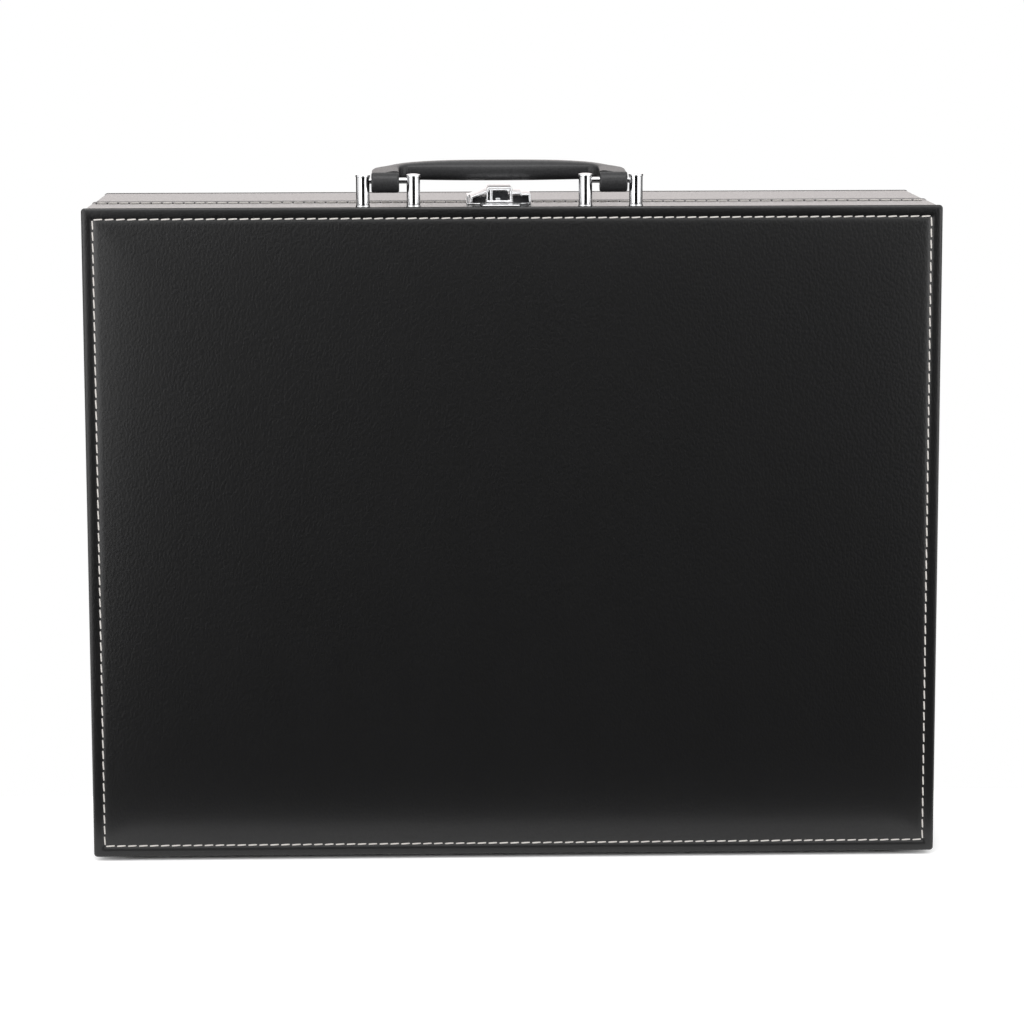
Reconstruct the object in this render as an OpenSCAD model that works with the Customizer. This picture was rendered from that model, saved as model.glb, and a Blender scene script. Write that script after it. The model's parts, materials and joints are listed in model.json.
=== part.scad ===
// Hinged game case, standing on its hinge side with the handle on top.
// X runs along the width, Y from the front face to the back, Z up from the floor.

/* [Case] */
// Width of the case
case_w = 400; // [390:1:430]
// Height of the case body, without its feet
case_h = 308; // [300:1:330]
// Depth of the closed case
case_t = 120; // [118:1:130]
// Depth of the front half, from the front face to the seam
base_t = 51; // [50:1:54]
// Height of the metal glides under the hinge side
foot_h = 2; // [2:0.5:4]

/* [Shell] */
// Thickness of the front and back boards
board_t = 4; // [3:0.5:5]
// Thickness of the wooden frame rails
rail_t = 9; // [8.5:0.5:10]
// Thickness of the covered panels on the front and back
cover_t = 1.2; // [1:0.1:1.5]
// Thickness of the covering on the side walls
wrap_t = 1; // [0.8:0.1:1.2]
// Thickness of the velvet lining
lining_t = 1; // [0.8:0.1:1.2]
// How far the front panel stands proud of the walls behind it
lip = 0.6; // [0.4:0.1:0.8]
// Gap between the two halves when closed
seam_gap = 0.6; // [0.4:0.1:0.8]

/* [Tray] */
// Width of a tile well
well_w = 170; // [150:1:174]
// Length of a tile well
well_l = 115; // [100:1:117]
// Width of the two accessory wells
extra_w = 32; // [25:1:35]
// Depth of the wells
well_d = 41; // [30:1:41]
// Corner radius of the wells
well_r = 3; // [2:0.5:6]
// Radius of the finger notches between the wells
notch_r = 13; // [10:1:14]

/* [Handle] */
// Distance of the handle and latch centre from the middle of the case
fittings_x = -6; // [-10:1:10]
// Distance between the centres of the two pairs of posts
handle_span = 104; // [100:1:120]
// Distance between the two posts of a pair
post_pitch = 23.6; // [23.4:0.1:26]
// Distance of the posts from the front face
post_in = 15; // [14:0.5:18]
// Radius of a post
post_r = 3.3; // [3:0.1:3.5]
// Height of the pins above the case top
pin_up = 11.4; // [10.6:0.2:13]
// Radius of the pins that the handle turns on
pin_r = 1.4; // [1.2:0.1:1.5]
// Distance from the pins to the middle of the grip
handle_reach = 30; // [28:1:36]
// Width of the padded grip
grip_w = 13; // [12:0.5:14]
// Thickness of the padded grip
grip_t = 9.4; // [9:0.2:10]

/* [Latch] */
// Distance of the latch plate from the front face
latch_in = 10; // [8:0.5:14]
// Width of the latch hood
hood_w = 30.6; // [30.4:0.2:32]
// Length of the latch hood, front to back
hood_l = 24; // [23:0.5:25]
// How far the button goes in
button_travel = 2.5; // [1.5:0.1:2.5]

/* [Hinges] */
// Distance of each hinge from the middle of the case
hinge_x = 120; // [90:1:150]
// Length of a hinge
hinge_l = 42; // [35:1:60]

/* [Hidden] */
$fn = 48;
front_y = -case_t / 2;
back_y = case_t / 2;
seam_y = front_y + base_t;
low_z = foot_h;
high_z = foot_h + case_h;
// The back half is smaller than the front one by a second lip.
base_in = lip;
lid_in = 2 * lip;
base_top = high_z - base_in;
lid_top = high_z - lid_in;
base_end = seam_y - seam_gap / 2;
lid_start = seam_y + seam_gap / 2;
base_board_y = front_y + cover_t;
base_rail_y = base_board_y + board_t;
lid_board_end = back_y - cover_t;
lid_rail_end = lid_board_end - board_t;
base_rail_in = base_in + wrap_t;
lid_rail_in = lid_in + wrap_t;
base_lining_in = base_rail_in + rail_t;
lid_lining_in = lid_rail_in + rail_t;
cut = 1;
slip = 0.3;

tray_bed_t = 1.8;
tray_below_seam = 0.9;
tray_in = base_lining_in + lining_t + slip;
tray_w = case_w - 2 * tray_in;
tray_h = case_h - 2 * tray_in;
tray_y = base_rail_y + tray_bed_t;
tray_end = base_end - tray_below_seam;
rib_w = (tray_w - 2 * well_w) / 3;
rib_h = (tray_h - 2 * well_l - extra_w) / 4;
extra_split = 0.62;
pad_t = 6;
pad_gap = 0.6;
mid_z = low_z + case_h / 2;

pin_y = front_y + post_in;
pin_z = high_z + pin_up;
// Height of a post above the pin in it, up to its dome
post_over_pin = 2.7;
post_up = pin_up + post_over_pin;
post_dome = 0.6;
screw_r = 2;
screw_play = 0.2;
screw_into_post = 6;
post_plate_t = 1.5;
head_t = 2.3;
head_r = 3.6;
pocket_t = post_plate_t + head_t + slip;
plate_side = 8;
plate_w = handle_span + post_pitch + 2 * plate_side;
plate_d = 14;
rail_face = base_top - wrap_t - rail_t;
handle_lift = 5;
loop_r = grip_t / 2;
// The loops sit against the outer posts.
arm_out = 1.3;
arm_x = handle_span / 2 + arm_out;
bend_r = 12;
core_r = 2;
eye_r = 3.6;
eye_w = grip_w - 1;
bush_r = 2.4;
pin_play = 0.05;
pin_bite = 1;

latch_y = front_y + latch_in;
// The plate's front lip: its left and right edge at the front and where it meets the hood
lip_front = [-7.9, 9.5];
lip_back = [-8.8, 10.1];
lip_step = 3;
hood_y = latch_y + 14;
hood_end = hood_y + hood_l;
strike_t = 0.8;
hood_side = hood_w / 2;
window = [-3.5, 4.6, 1.3, 6.6];
button_play = 0.3;
button_l = 6;
button_in = 1.5;
button_y = hood_y + button_in;
// Length of the spring when the button is pressed in
spring_pressed = 3.5;
spring_l = button_travel + spring_pressed;
spring_r = 1.7;
spring_wire = 0.35;
spring_turns = 6;
web_y = button_y + button_l + spring_l;
web_t = 1;
// The hasp's tongue: its left edge, width, reach in front of the hasp and height above the lid
tongue_left = -2.6;
tongue_w = 6.2;
tongue_t = 1.5;
tongue_reach = 7;
tongue_up = 3.4;
tongue_in = 2;
hasp_y = lid_start + 0.7;
hasp_l = 13;
hasp_h = 6.5;
hasp_wall = 1;
rivet_r = 1.2;
rivet_x = 9.5;
rivet_in = 4;

axis_z = 2.4;
knuckle_r = 2.2;
hinge_pin_r = 1.2;
knuckles = 5;
knuckle_l = hinge_l / knuckles;
knuckle_play = 0.15;
leaf_t = 0.9;
leaf_in = 0.1;
leaf_top = 11.8;
leaf_low = axis_z + knuckle_r + 0.3;
leaf_screw_z = 8.6;
leaf_screw_r = 1.1;
leaf_head_r = 2;
leaf_screw_l = 9;

foot_r = 7;
foot_edge = 0.8;
foot_x = case_w / 2 - 32;
base_foot_y = front_y + 15;
lid_foot_y = back_y - 14;
nail_r = 1;
nail_l = 8;
pin_nail_r = 0.8;
pin_nail_l = 24;

leather = [0.055, 0.055, 0.058];
chrome = [0.83, 0.83, 0.84];
steel = [0.55, 0.55, 0.56];
wood = [0.72, 0.55, 0.36];
velvet = [0.23, 0.03, 0.05];
foam = [0.2, 0.2, 0.21];

// A block of the case's outline, drawn in by inset, between two depths
module slab(inset, y_from, y_to)
  translate([-case_w / 2 + inset, y_from, low_z + inset])
    cube([case_w - 2 * inset, y_to - y_from, case_h - 2 * inset]);

// The four walls round a slab
module ring(inset, wall, y_from, y_to)
  difference() {
    slab(inset, y_from, y_to);
    slab(inset + wall, y_from - cut, y_to + cut);
  }

// A round bar along Y, from y_from to y_to
module bar_y(r, y_from, y_to)
  translate([0, y_from, 0]) rotate([-90, 0, 0]) cylinder(r = r, h = y_to - y_from);

// A round bar along X, centred
module bar_x(r, length)
  rotate([0, 90, 0]) cylinder(r = r, h = length, center = true);

module at_hinges()
  for (x = [-hinge_x, hinge_x]) translate([x, seam_y, 0]) children();

module at_posts()
  for (pair = [-1, 1], side = [-1, 1])
    translate([fittings_x + pair * handle_span / 2 + side * post_pitch / 2, pin_y, 0]) children();

module at_feet(y)
  for (x = [-foot_x, foot_x]) translate([x, y, 0]) children();

// Places for the pin nails at the frame's corners
module at_nails(inset, y_from, y_to)
  for (side = [-1, 1], end = [0, 1], step = [0.3, 0.7])
    translate([
      side * (case_w / 2 - inset - rail_t / 2),
      y_from + step * (y_to - y_from),
      end == 0 ? low_z + inset : high_z - inset - pin_nail_l
    ]) children();

module nails(inset, y_from, y_to)
  at_nails(inset, y_from, y_to) cylinder(r = pin_nail_r, h = pin_nail_l, $fn = 24);

module foot_nails(y)
  at_feet(y) cylinder(r = nail_r, h = foot_h + nail_l, $fn = 24);

// Room for a hinge's knuckles and one leaf, at a side of the seam
module hinge_room(side)
  at_hinges() {
    translate([0, 0, axis_z]) bar_x(knuckle_r + slip, hinge_l + 2 * slip);
    mirror([0, side < 0 ? 1 : 0, 0])
      translate([-hinge_l / 2 - slip, leaf_in - cut, axis_z])
        cube([hinge_l + 2 * slip, leaf_t + cut, leaf_top + slip - axis_z]);
  }

module at_leaf_screws()
  at_hinges()
    for (x = [-1, 1]) translate([x * hinge_l / 4, 0, leaf_screw_z]) children();

module leaf_screws(side)
  at_leaf_screws()
    mirror([0, side < 0 ? 1 : 0, 0]) {
      bar_y(leaf_screw_r, leaf_in, leaf_in + leaf_screw_l, $fn = 24);
      bar_y(leaf_head_r, leaf_in, leaf_in + leaf_t, $fn = 24);
    }

module rivets(y, top)
  for (side = [-1, 1])
    translate([fittings_x + side * rivet_x, y, top - wrap_t - rail_t])
      cylinder(r = rivet_r, h = rail_t + wrap_t + strike_t, $fn = 24);

module top_rail(inset, y_from, y_to)
  translate([-case_w / 2 + inset, y_from, high_z - inset - rail_t])
    cube([case_w - 2 * inset, y_to - y_from, rail_t]);

module bottom_rail(inset, y_from, y_to)
  translate([-case_w / 2 + inset, y_from, low_z + inset])
    cube([case_w - 2 * inset, y_to - y_from, rail_t]);

module side_rail(inset, y_from, y_to, side)
  translate([side < 0 ? -case_w / 2 + inset : case_w / 2 - inset - rail_t, y_from, low_z + inset + rail_t])
    cube([rail_t, y_to - y_from, case_h - 2 * inset - 2 * rail_t]);

// Front half: shell
module front_cover() color(leather) slab(0, front_y, base_board_y);

module front_board() color(wood) slab(base_rail_in, base_board_y, base_rail_y);

module base_wall_cover() color(leather)
  difference() {
    ring(base_in, wrap_t, base_board_y, base_end);
    hinge_room(-1);
    foot_nails(base_foot_y);
    at_posts() translate([0, 0, mid_z]) cylinder(r = screw_r + screw_play, h = case_h);
    rivets(latch_rivet_y(), base_top);
  }

function latch_rivet_y() = hood_end - rivet_in;
function hasp_rivet_y() = hasp_y + hasp_l - rivet_in;

module base_rail_top() color(wood)
  difference() {
    top_rail(base_rail_in, base_rail_y, base_end);
    translate([fittings_x - plate_w / 2 - slip, pin_y - plate_d / 2 - slip, rail_face - cut])
      cube([plate_w + 2 * slip, plate_d + 2 * slip, pocket_t + cut]);
    at_posts() translate([0, 0, mid_z]) cylinder(r = screw_r + screw_play, h = case_h);
    rivets(latch_rivet_y(), base_top);
    nails(base_rail_in, base_rail_y, base_end);
  }

module base_rail_bottom() color(wood)
  difference() {
    bottom_rail(base_rail_in, base_rail_y, base_end);
    hinge_room(-1);
    leaf_screws(-1);
    foot_nails(base_foot_y);
    nails(base_rail_in, base_rail_y, base_end);
  }

module base_side(side) color(wood)
  difference() {
    side_rail(base_rail_in, base_rail_y, base_end, side);
    nails(base_rail_in, base_rail_y, base_end);
  }

module base_rail_left() base_side(-1);
module base_rail_right() base_side(1);

module base_lining() color(velvet) ring(base_lining_in, lining_t, base_rail_y, base_end);

module base_nails() color(steel) nails(base_rail_in, base_rail_y, base_end);

// One glide: a disc with a turned edge, and the nail that holds it
module foot(top)
  union() {
    cylinder(r = foot_r - 1, h = top);
    translate([0, 0, foot_edge]) cylinder(r = foot_r, h = top - foot_edge);
    cylinder(r = nail_r, h = foot_h + nail_l, $fn = 24);
  }

module base_feet() color(chrome) at_feet(base_foot_y) foot(low_z + base_in);

// Front half: tile tray
module well(x, z, w, l, y_low)
  translate([x, y_low, z])
    rotate([-90, 0, 0])
      linear_extrude(tray_end - y_low + cut)
        rounded(w, l);

// A rectangle with round corners, its low corner at the origin, drawn downwards
module rounded(w, l)
  translate([0, -l]) {
    translate([well_r, 0]) square([w - 2 * well_r, l]);
    translate([0, well_r]) square([w, l - 2 * well_r]);
    for (x = [well_r, w - well_r], y = [well_r, l - well_r]) translate([x, y]) circle(r = well_r, $fn = 24);
  }

function well_x(i) = -tray_w / 2 + rib_w + i * (well_w + rib_w);
function well_z(j) = low_z + tray_in + rib_h + j * (well_l + rib_h);
extra_z = low_z + tray_in + 3 * rib_h + 2 * well_l;
extra_long = (tray_w - 3 * rib_w) * extra_split;
extra_short = (tray_w - 3 * rib_w) * (1 - extra_split);

module tile_tray() color(velvet)
  difference() {
    slab(tray_in, tray_y, tray_end);
    for (i = [0, 1], j = [0, 1]) well(well_x(i), well_z(j), well_w, well_l, tray_end - well_d);
    well(-tray_w / 2 + rib_w, extra_z, extra_long, extra_w, tray_end - well_d);
    well(-tray_w / 2 + 2 * rib_w + extra_long, extra_z, extra_short, extra_w, tray_end - well_d);
    for (j = [0, 1])
      translate([0, tray_end, well_z(j) + well_l / 2]) bar_x(notch_r, 3 * rib_w);
  }

module tray_bed() color(foam) slab(base_lining_in + lining_t, base_rail_y, tray_y);

// Front half: handle mounting
module handle_posts() color(chrome)
  at_posts()
    difference() {
      union() {
        translate([0, 0, base_top]) cylinder(r = post_r, h = high_z + post_up - base_top);
        translate([0, 0, high_z + post_up]) cylinder(r1 = post_r, r2 = post_r - 1, h = post_dome);
      }
      translate([0, 0, base_top - cut]) cylinder(r = screw_r, h = screw_into_post + cut);
      translate([0, 0, pin_z]) bar_x(pin_r, 3 * post_r);
    }

module handle_pins() color(chrome)
  for (pair = [-1, 1])
    translate([fittings_x + pair * handle_span / 2, pin_y, pin_z])
      bar_x(pin_r, post_pitch + 2 * pin_bite + post_r);

module post_plate() color(steel)
  difference() {
    translate([fittings_x - plate_w / 2, pin_y - plate_d / 2, rail_face + pocket_t - post_plate_t])
      cube([plate_w, plate_d, post_plate_t]);
    at_posts() translate([0, 0, mid_z]) cylinder(r = screw_r + screw_play, h = case_h);
  }

module post_screws() color(steel)
  at_posts() {
    translate([0, 0, rail_face + pocket_t - post_plate_t - head_t]) cylinder(r = head_r, h = head_t);
    translate([0, 0, rail_face + pocket_t - post_plate_t])
      cylinder(r = screw_r, h = base_top + screw_into_post - rail_face - pocket_t + post_plate_t);
  }

// Latch
module latch_plate() color(chrome)
  difference() {
    translate([fittings_x, 0, base_top])
      linear_extrude(strike_t)
        polygon([
          [lip_front[0], latch_y], [lip_front[1], latch_y], [lip_back[1], hood_y],
          [hood_side, hood_y + lip_step], [hood_side, hood_end], [-hood_side, hood_end],
          [-hood_side, hood_y + lip_step], [lip_back[0], hood_y]
        ]);
    rivets(latch_rivet_y(), base_top);
  }

// Draws an upright outline, given in X and Z, through the depth of the hood
module across_hood(y_from, y_to)
  translate([fittings_x, y_to, base_top + strike_t])
    rotate([90, 0, 0])
      linear_extrude(y_to - y_from) children();

module hood_outline()
  polygon([
    [-hood_side, 0], [-hood_side + 0.7, 2.7], [-hood_side + 1.8, 3.4], [-6.6, 5.9], [-5.8, 7], [6, 7],
    [6.6, 6.2], [6.8, 4.7], [10, 4.7], [10.4, 3.8], [hood_side - 0.9, 3.8], [hood_side, 2.8], [hood_side, 0]
  ]);

module left_hollow()
  polygon([[-hood_side + 1.1, -cut], [-hood_side + 1.6, 2.3], [-6.9, 4.8], [-6.9, -cut]]);

module right_hollow()
  polygon([
    [6.9, -cut], [6.9, 3.8], [9.3, 3.8], [9.7, 2.9], [hood_side - 1.2, 2.9], [hood_side - 1.1, -cut]
  ]);

module window_hole()
  translate([window[0], window[2] - strike_t])
    square([window[1] - window[0], window[3] - window[2]]);

module latch_hood() color(chrome)
  difference() {
    across_hood(hood_y, hood_end) hood_outline();
    for (run = [[hood_y - cut, web_y], [web_y + web_t, hood_end + cut]])
      across_hood(run[0], run[1]) {
        left_hollow();
        right_hollow();
        window_hole();
      }
  }

module latch_rivets() color(steel) rivets(latch_rivet_y(), base_top);

module latch_button() color(leather)
  across_hood(button_y, button_y + button_l)
    translate([window[0] + button_play, window[2] - strike_t + button_play])
      square([window[1] - window[0] - 2 * button_play, window[3] - window[2] - 2 * button_play]);

// Spring: a round wire swept along a helix by its own ring of points
spring_sides = 6;
spring_steps = 10;
spring_rings = spring_turns * spring_steps;
spring_run = spring_l - 2 * spring_wire - 0.1;
spring_lead = spring_run / spring_turns;

function spring_point(ring, side) =
  let (
    turn = 360 * ring / spring_steps,
    bend = 360 * side / spring_sides,
    reach = spring_r - spring_wire + spring_wire * cos(bend)
  )
  [reach * cos(turn), reach * sin(turn), ring * spring_run / spring_rings + spring_wire * sin(bend)];

module button_spring() color(steel)
  translate([
    fittings_x + (window[0] + window[1]) / 2,
    button_y + button_l + spring_wire + 0.05,
    base_top + (window[2] + window[3]) / 2
  ])
    rotate([-90, 0, 0])
      polyhedron(
        points = [
          for (ring = [0:spring_rings], side = [0:spring_sides - 1]) spring_point(ring, side)
        ],
        faces = concat(
          [[for (side = [0:spring_sides - 1]) side]],
          [
            for (ring = [0:spring_rings - 1], side = [0:spring_sides - 1])
              let (next = (side + 1) % spring_sides, low = ring * spring_sides, high = low + spring_sides)
              [low + side, high + side, high + next, low + next]
          ],
          [[for (side = [spring_sides - 1:-1:0]) spring_rings * spring_sides + side]]
        )
      );

// Lid side of the latch: a hollow hump with a tongue that enters the hood
hump_r = (hood_side * hood_side + hasp_h * hasp_h) / (2 * hasp_h);

module hump_outline(r)
  intersection() {
    translate([0, hasp_h - hump_r]) circle(r = r, $fn = 96);
    translate([-hood_side, 0]) square([2 * hood_side, hasp_h + cut]);
  }

module along_hasp(y_from, y_to)
  translate([fittings_x, y_to, lid_top + strike_t])
    rotate([90, 0, 0])
      linear_extrude(y_to - y_from) children();

module latch_hasp() color(chrome)
  difference() {
    union() {
      translate([fittings_x - hood_side, hasp_y, lid_top]) cube([2 * hood_side, hasp_l, strike_t]);
      along_hasp(hasp_y, hasp_y + hasp_l)
        difference() {
          hump_outline(hump_r);
          hump_outline(hump_r - hasp_wall);
        }
      translate([fittings_x + tongue_left, hasp_y - tongue_reach, lid_top + tongue_up])
        cube([tongue_w, tongue_reach + hasp_l - tongue_in, tongue_t]);
      translate([fittings_x + tongue_left, hasp_y + hasp_l - tongue_in - web_t, lid_top])
        cube([tongue_w, web_t, tongue_up + tongue_t]);
    }
    rivets(hasp_rivet_y(), lid_top);
  }

module hasp_rivets() color(steel) rivets(hasp_rivet_y(), lid_top);

// Handle: everything in its own plane, then laid back at its resting slope
module in_handle()
  translate([fittings_x, pin_y, pin_z]) rotate([handle_lift, 0, 0]) children();

// A flat strip with round edges, drawn upright at the origin
module strap_section(w, t) {
  square([w - t, t], center = true);
  for (side = [-1, 1]) translate([side * (w - t) / 2, 0]) circle(d = t);
}

// The path of the handle: two arms, two bends and the grip between them
module handle_path(arm_from)
  union() {
    for (side = [-1, 1])
      mirror([side < 0 ? 1 : 0, 0, 0]) {
        translate([arm_x, handle_reach - bend_r, 0])
          rotate([90, 0, 0]) linear_extrude(handle_reach - bend_r - arm_from) children();
        translate([arm_x - bend_r, handle_reach - bend_r, 0])
          rotate_extrude(angle = 90) translate([bend_r, 0]) children();
      }
    translate([0, handle_reach, 0])
      rotate([90, 0, 90]) linear_extrude(2 * (arm_x - bend_r), center = true) children();
  }

module at_loops()
  for (side = [-1, 1]) translate([side * arm_x, 0, 0]) children();

module handle_grip() color(leather)
  in_handle()
    difference() {
      union() {
        handle_path(0) strap_section(grip_w, grip_t);
        at_loops() bar_x(loop_r, grip_w);
      }
      handle_path(0) circle(r = core_r);
      at_loops() bar_x(eye_r, grip_w + cut);
    }

module handle_core() color(steel)
  in_handle()
    difference() {
      union() {
        handle_path(0) circle(r = core_r);
        at_loops() bar_x(eye_r, eye_w);
      }
      at_loops() bar_x(bush_r, grip_w + cut);
    }

module handle_bushes() color(chrome)
  in_handle()
    at_loops()
      difference() {
        bar_x(bush_r, grip_w);
        bar_x(pin_r + pin_play, grip_w + cut);
      }

// Hinges
module knuckle_set(first)
  for (i = [first:2:knuckles - 1])
    translate([-hinge_l / 2 + (i + 0.5) * knuckle_l, 0, axis_z]) children();

module leaves(side, first, bore)
  at_hinges()
    mirror([0, side < 0 ? 1 : 0, 0])
      difference() {
        union() {
          translate([-hinge_l / 2, leaf_in, leaf_low]) cube([hinge_l, leaf_t, leaf_top - leaf_low]);
          knuckle_set(first) {
            bar_x(knuckle_r, knuckle_l - 2 * knuckle_play);
            translate([-knuckle_l / 2 + knuckle_play, leaf_in, 0])
              cube([knuckle_l - 2 * knuckle_play, leaf_t, leaf_low - axis_z + leaf_t]);
          }
        }
        translate([0, 0, axis_z]) bar_x(bore, hinge_l + cut);
        for (x = [-1, 1])
          translate([x * hinge_l / 4, 0, leaf_screw_z]) bar_y(leaf_head_r, -cut, leaf_t + cut, $fn = 24);
      }

module base_hinge_leaves() color(steel) leaves(-1, 0, hinge_pin_r);
module lid_hinge_leaves() color(steel) leaves(1, 1, hinge_pin_r + pin_play);
module base_hinge_screws() color(steel) leaf_screws(-1);
module lid_hinge_screws() color(steel) leaf_screws(1);
module hinge_pins() color(steel) at_hinges() translate([0, 0, axis_z]) bar_x(hinge_pin_r, hinge_l);

// Back half
module back_cover() color(leather) slab(lip, lid_board_end, back_y);

module back_board() color(wood) slab(lid_rail_in, lid_rail_end, lid_board_end);

module lid_wall_cover() color(leather)
  difference() {
    ring(lid_in, wrap_t, lid_start, lid_board_end);
    hinge_room(1);
    foot_nails(lid_foot_y);
    rivets(hasp_rivet_y(), lid_top);
  }

module lid_rail_top() color(wood)
  difference() {
    top_rail(lid_rail_in, lid_start, lid_rail_end);
    rivets(hasp_rivet_y(), lid_top);
    nails(lid_rail_in, lid_start, lid_rail_end);
  }

module lid_rail_bottom() color(wood)
  difference() {
    bottom_rail(lid_rail_in, lid_start, lid_rail_end);
    hinge_room(1);
    leaf_screws(1);
    foot_nails(lid_foot_y);
    nails(lid_rail_in, lid_start, lid_rail_end);
  }

module lid_side(side) color(wood)
  difference() {
    side_rail(lid_rail_in, lid_start, lid_rail_end, side);
    nails(lid_rail_in, lid_start, lid_rail_end);
  }

module lid_rail_left() lid_side(-1);
module lid_rail_right() lid_side(1);

module lid_lining() color(velvet) ring(lid_lining_in, lining_t, lid_start, lid_rail_end);

module lid_nails() color(steel) nails(lid_rail_in, lid_start, lid_rail_end);

module lid_foam() color(foam) slab(lid_lining_in + lining_t, lid_start + pad_gap + pad_t, lid_rail_end);

module lid_pad() color(velvet)
  slab(lid_lining_in + lining_t + slip, lid_start + pad_gap, lid_start + pad_gap + pad_t);

module lid_feet() color(chrome) at_feet(lid_foot_y) foot(low_z + lid_in);

front_cover();
front_board();
base_wall_cover();
base_rail_top();
base_rail_bottom();
base_rail_left();
base_rail_right();
base_lining();
base_nails();
tray_bed();
tile_tray();
base_feet();
handle_posts();
handle_pins();
post_plate();
post_screws();
latch_plate();
latch_hood();
latch_rivets();
button_spring();
base_hinge_leaves();
base_hinge_screws();
handle_core();
handle_bushes();
handle_grip();
latch_button();
back_cover();
back_board();
lid_wall_cover();
lid_rail_top();
lid_rail_bottom();
lid_rail_left();
lid_rail_right();
lid_lining();
lid_nails();
lid_foam();
lid_pad();
lid_feet();
latch_hasp();
hasp_rivets();
lid_hinge_leaves();
lid_hinge_screws();
hinge_pins();
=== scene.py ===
"""A hinged leatherette game case with a stitched front, dressed round its solid model."""

import json
import math

import bmesh
import bpy
from bpy.props import FloatProperty, FloatVectorProperty, IntProperty, PointerProperty
from mathutils import Matrix, Vector


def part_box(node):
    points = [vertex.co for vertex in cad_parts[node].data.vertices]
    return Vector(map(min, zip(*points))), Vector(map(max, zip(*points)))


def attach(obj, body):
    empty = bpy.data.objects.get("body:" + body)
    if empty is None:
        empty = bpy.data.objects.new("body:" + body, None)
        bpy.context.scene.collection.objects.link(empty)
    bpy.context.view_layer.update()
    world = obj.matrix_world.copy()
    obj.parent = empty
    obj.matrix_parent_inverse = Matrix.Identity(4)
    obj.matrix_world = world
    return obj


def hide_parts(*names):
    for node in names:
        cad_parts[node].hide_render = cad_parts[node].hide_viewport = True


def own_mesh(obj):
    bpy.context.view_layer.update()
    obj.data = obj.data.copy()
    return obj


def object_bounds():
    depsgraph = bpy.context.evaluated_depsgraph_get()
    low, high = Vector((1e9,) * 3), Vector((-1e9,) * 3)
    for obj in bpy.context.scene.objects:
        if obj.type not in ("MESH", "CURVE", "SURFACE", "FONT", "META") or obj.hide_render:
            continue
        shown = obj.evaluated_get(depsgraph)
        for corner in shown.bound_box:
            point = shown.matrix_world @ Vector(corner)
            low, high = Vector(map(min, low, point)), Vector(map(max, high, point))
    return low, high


bl_info = {
    "name": "Leatherette Game Case",
    "version": (1, 0, 0),
    "blender": (4, 5, 0),
    "location": "View3D > Sidebar > Case",
    "description": "Covers, stitching, handle, latch and lining of a hinged game case",
    "category": "Add Mesh",
}

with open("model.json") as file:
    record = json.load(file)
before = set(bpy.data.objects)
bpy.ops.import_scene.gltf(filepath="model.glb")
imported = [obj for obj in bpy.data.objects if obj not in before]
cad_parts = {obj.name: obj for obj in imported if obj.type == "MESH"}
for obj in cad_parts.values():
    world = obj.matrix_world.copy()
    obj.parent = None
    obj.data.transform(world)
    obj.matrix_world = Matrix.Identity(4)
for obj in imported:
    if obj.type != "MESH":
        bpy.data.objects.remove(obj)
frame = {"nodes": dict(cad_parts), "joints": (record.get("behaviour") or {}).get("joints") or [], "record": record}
solid_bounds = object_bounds()

MM = 0.001
X, Y, Z = Vector((1, 0, 0)), Vector((0, 1, 0)), Vector((0, 0, 1))
TINY = 1e-5


# Sizes and colours that a user would change


def length_setting(name, description, default):
    return FloatProperty(name=name, description=description, default=default, unit="LENGTH")


def angle_setting(name, description, degrees):
    return FloatProperty(name=name, description=description, default=math.radians(degrees), subtype="ANGLE")


def colour_setting(name, description, default):
    return FloatVectorProperty(name=name, description=description, default=default, subtype="COLOR")


class CaseSizes(bpy.types.PropertyGroup):
    """Sizes of the covers, the seams and the fittings"""

    corner_radius: length_setting("Corner Radius", "Rounding of the case's outline corners", 1.6 * MM)
    rim_radius: length_setting("Rim Radius", "Rounding of the panels' outer edge", 0.9 * MM)
    padding: length_setting("Padding", "How far a panel swells past its rim", 0.8 * MM)
    padding_width: length_setting("Padding Width", "How gradually the field swells", 18 * MM)
    stitch_inset: length_setting("Stitch Inset", "From the panel's edge to its stitches", 5.2 * MM)
    stitch_pitch: length_setting("Stitch Pitch", "Distance from one stitch to the next", 5.2 * MM)
    stitch_length: length_setting("Stitch Length", "Length of thread that shows", 4.1 * MM)
    stitch_width: length_setting("Stitch Width", "Thickness of the thread", 0.75 * MM)
    groove_depth: length_setting("Groove Depth", "How deep the thread pulls the cover in", 0.4 * MM)
    seam_stitch: length_setting("Seam Stitch", "From the seam to the walls' stitches", 9.0 * MM)
    edge_turn: length_setting("Turned Edge", "Width of cover turned over the frame", 10.6 * MM)
    grip_width: length_setting("Grip Width", "Width of the grip at its middle", 16 * MM)
    grip_thickness: length_setting("Grip Thickness", "Thickness of the grip at its middle", 9.8 * MM)
    strap_thickness: length_setting("Strap Thickness", "Thickness of the handle's arms", 6.2 * MM)
    strap_width: length_setting("Strap Width", "Width of the handle's arms and loops", 13 * MM)
    strap_bend: length_setting("Strap Bend", "Radius of the bends between arms and grip", 12 * MM)
    loop_radius: length_setting("Loop Radius", "Radius of the loops round the pins", 4.8 * MM)
    quilt_columns: IntProperty(name="Quilt Columns", description="Squares across the lid's pad", default=8)
    quilt_rows: IntProperty(name="Quilt Rows", description="Squares up the lid's pad", default=6)


class CaseColours(bpy.types.PropertyGroup):
    """Colours of the case's finishes"""

    leather: colour_setting("Leatherette", "Colour of the cover", (0.0048, 0.0048, 0.0051))
    thread: colour_setting("Thread", "Colour of the stitching", (0.60, 0.57, 0.54))
    velvet: colour_setting("Velvet", "Colour of lining, tray and pad", (0.16, 0.012, 0.028))
    metal: colour_setting("Plating", "Colour of the polished fittings", (0.85, 0.85, 0.86))


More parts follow.
